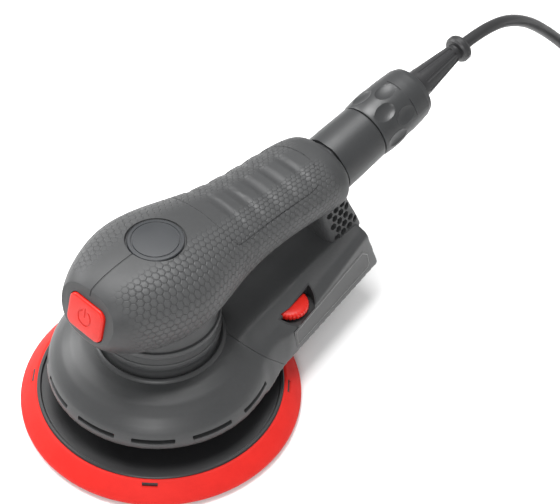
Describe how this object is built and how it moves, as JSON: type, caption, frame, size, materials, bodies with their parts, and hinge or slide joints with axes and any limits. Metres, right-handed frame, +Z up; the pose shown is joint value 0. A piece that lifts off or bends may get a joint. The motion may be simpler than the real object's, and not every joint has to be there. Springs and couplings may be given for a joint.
{
  "type": "dual action polisher",
  "caption": "Random orbit polisher with round pad, upright brushless motor, palm head with rear handle strut, dust duct, power button, speed dial and mains lead with twist-lock connector.",
  "frame": {"origin": "centre of the pad's working face at rest", "axes": "+Z up along the motor and pad axes, -Y front with the power button, +Y rear with the handle, duct outlet and mains lead, +X the side with the speed dial"},
  "size_m": [0.241, 0.5055, 0.1184],
  "materials": {
    "grip": "soft satin with a hexagon grain",
    "shell": "satin",
    "label": "matte",
    "red": "satin",
    "foam": "matte polyurethane foam",
    "hook": "hook pile",
    "plate": "satin",
    "seal": "matte",
    "steel": "bright",
    "magnet": "satin",
    "copper": "enamelled wire",
    "insulator": "matte",
    "alloy": "cast",
    "board": "satin",
    "part": "satin",
    "contact": "plated",
    "cord": "satin"
  },
  "bodies": {
    "housing": {"upper_housing_left": "grip", "upper_housing_right": "grip", "housing_screws": "steel", "badge_cap": "shell", "motor_shroud": "shell", "shroud_edge_ring": "shell", "brake_seal": "seal", "dust_duct": "shell", "name_plate": "label", "dial_bezel": "shell", "dial_potentiometer": "part", "switch_module": "part", "stator_core": "steel", "stator_windings": "copper", "stator_insulators": "insulator", "motor_frame": "shell", "motor_screws": "steel", "motor_end_plate": "alloy", "lower_bearing": "steel", "upper_bearing": "steel", "control_board": "board", "heat_sink": "alloy", "capacitor": "part", "inlet_socket": "shell", "inlet_contacts": "contact", "plug_insert": "part", "bend_protector": "cord", "mains_cord": "cord", "cord_coil": "cord", "cord_tie": "cord", "cord_tail": "cord", "plug_strain_relief": "cord", "plug_body": "cord", "plug_pins": "contact"},
    "rotor": {"rotor_core": "steel", "rotor_magnets": "magnet", "motor_shaft": "steel", "shaft_circlip": "steel", "eccentric_fan": "alloy", "counterweight": "steel", "crank_bearings": "steel"},
    "pad": {"pad_spindle": "steel", "pad_plate": "plate", "pad_stud": "steel", "pad_foam": "foam", "hook_face": "hook"},
    "power_button": {"power_button": "red"},
    "speed_dial": {"speed_dial": "red"},
    "lock_collar": {"lock_collar": "shell", "connector_end_cap": "shell"}
  },
  "joints": [
    {"name": "rotor_spin", "type": "hinge", "parent": "housing", "child": "rotor", "pos_m": [-0.0017, 0.00183, 0.06], "axis": [0, 0, 1], "continuous": true},
    {"name": "pad_spin", "type": "hinge", "parent": "rotor", "child": "pad", "pos_m": [0, 0, 0.02], "axis": [0, 0, 1], "continuous": true},
    {"name": "button_press", "type": "slide", "parent": "housing", "child": "power_button", "axis": [0, 0.9694, -0.2453], "range_m": [0, 0.0015], "stiffness_N_per_m": 1500, "springref_m": -0.001},
    {"name": "dial_turn", "type": "hinge", "parent": "housing", "child": "speed_dial", "pos_m": [0.0293, 0.06683, 0.0436], "axis": [0, 0, 1], "range_deg": [-135, 135]},
    {"name": "collar_twist", "type": "hinge", "parent": "housing", "child": "lock_collar", "pos_m": [-0.0017, 0.16592, 0.09085], "axis": [0, 0.9848, 0.1736], "range_deg": [0, 60]}
  ]
}
